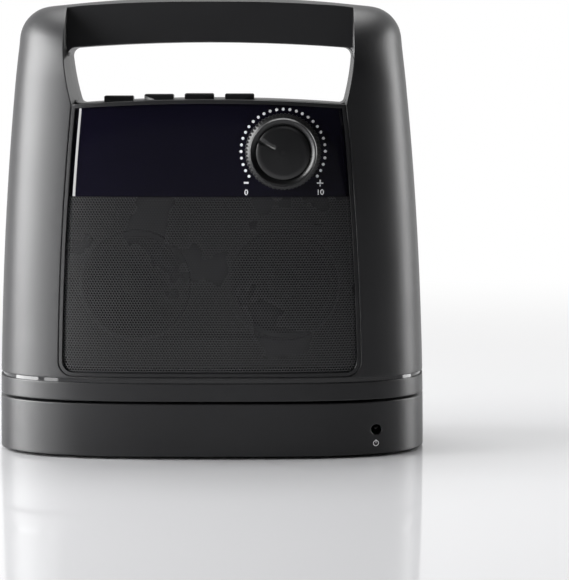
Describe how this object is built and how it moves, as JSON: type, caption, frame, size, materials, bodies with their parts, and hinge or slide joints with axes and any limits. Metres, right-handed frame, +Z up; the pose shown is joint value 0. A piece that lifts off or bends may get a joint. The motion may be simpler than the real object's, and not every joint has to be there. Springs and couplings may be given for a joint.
{
  "type": "tabletop radio",
  "caption": "Black portable radio speaker with an arched carry handle, dark window, volume knob, deck buttons and perforated grille, standing on a charging dock.",
  "frame": {"origin": "middle of the dock's footprint, at table level, 1.5 mm below the dock's underside", "axes": "+Z up, -Y is the front with the grille and the knob, +X to the viewer's right"},
  "size_m": [0.2044, 0.1217, 0.2154],
  "materials": {
    "housing_black": "satin, very fine grain",
    "gloss_trim": "gloss",
    "bezel_grey": "satin",
    "window_black": "high gloss",
    "grille_black": "satin paint on perforated sheet",
    "knob_black": "satin",
    "button_black": "satin",
    "inner_plastic": "moulded",
    "foot_rubber": "matt",
    "screw_steel": "plated",
    "contact_brass": "plated",
    "board_green": "solder mask",
    "lamp_dark": "smoked, unlit",
    "display_dark": "unlit",
    "basket_steel": "pressed steel, painted",
    "magnet_ferrite": "ferrite",
    "surround_rubber": "matt",
    "cone_paper": "pressed pulp",
    "battery_wrap": "heat-shrink wrap"
  },
  "bodies": {
    "dock": {"dock_shell": "housing_black", "dock_base_plate": "inner_plastic", "dock_feet": "foot_rubber", "dock_screws": "screw_steel", "charge_pin_block": "inner_plastic", "dock_board": "board_green", "dc_socket": "inner_plastic", "dc_socket_pin": "screw_steel", "led_board": "board_green", "power_led": "lamp_dark"},
    "speaker": {"front_housing": "housing_black", "rear_housing": "housing_black", "rear_housing_screws": "screw_steel", "bottom_cover": "housing_black", "bottom_cover_screws": "screw_steel", "contact_plates": "contact_brass", "trim_ring": "gloss_trim", "battery_door": "housing_black", "battery_door_screw": "screw_steel", "battery_pack": "battery_wrap", "front_bezel": "bezel_grey", "display_window": "window_black", "display_module": "display_dark", "speaker_grille": "grille_black", "baffle": "inner_plastic", "baffle_screws": "screw_steel", "driver_screws": "screw_steel", "driver_left_basket": "basket_steel", "driver_left_magnet": "magnet_ferrite", "driver_left_surround": "surround_rubber", "driver_left_cone": "cone_paper", "driver_left_dust_cap": "cone_paper", "driver_right_basket": "basket_steel", "driver_right_magnet": "magnet_ferrite", "driver_right_surround": "surround_rubber", "driver_right_cone": "cone_paper", "driver_right_dust_cap": "cone_paper", "volume_pot": "inner_plastic", "pot_nut": "screw_steel", "button_switches": "inner_plastic", "button_board": "board_green", "button_board_screws": "screw_steel", "main_board": "board_green", "main_board_screws": "screw_steel", "receiver_module": "screw_steel", "ferrite_antenna": "magnet_ferrite", "headphone_jack": "inner_plastic"},
    "volume_knob": {"volume_knob": "knob_black", "knob_cap": "knob_black", "pot_shaft": "screw_steel"},
    "charge_pin_left": {"charge_pin_left": "contact_brass"},
    "charge_pin_right": {"charge_pin_right": "contact_brass"},
    "deck_button_1": {"deck_button_1": "button_black"},
    "deck_button_2": {"deck_button_2": "button_black"},
    "deck_button_3": {"deck_button_3": "button_black"},
    "deck_button_4": {"deck_button_4": "button_black"}
  },
  "joints": [
    {"name": "lift_off", "type": "slide", "parent": "dock", "child": "speaker", "axis": [0, 0, 1], "range_m": [0, 0.06]},
    {"name": "volume_turn", "type": "hinge", "parent": "speaker", "child": "volume_knob", "pos_m": [0.0344, -0.0527, 0.1437], "axis": [0, -1, 0], "range_deg": [-190, 77]},
    {"name": "button_1_press", "type": "slide", "parent": "speaker", "child": "deck_button_1", "axis": [0, 0, -1], "range_m": [0, 0.0012], "stiffness_N_per_m": 600},
    {"name": "button_2_press", "type": "slide", "parent": "speaker", "child": "deck_button_2", "axis": [0, 0, -1], "range_m": [0, 0.0012], "stiffness_N_per_m": 600},
    {"name": "button_3_press", "type": "slide", "parent": "speaker", "child": "deck_button_3", "axis": [0, 0, -1], "range_m": [0, 0.0012], "stiffness_N_per_m": 600},
    {"name": "button_4_press", "type": "slide", "parent": "speaker", "child": "deck_button_4", "axis": [0, 0, -1], "range_m": [0, 0.0012], "stiffness_N_per_m": 600},
    {"name": "charge_pin_left_press", "type": "slide", "parent": "dock", "child": "charge_pin_left", "axis": [0, 0, -1], "range_m": [0, 0.0015], "stiffness_N_per_m": 150},
    {"name": "charge_pin_right_press", "type": "slide", "parent": "dock", "child": "charge_pin_right", "axis": [0, 0, -1], "range_m": [0, 0.0015], "stiffness_N_per_m": 150}
  ]
}
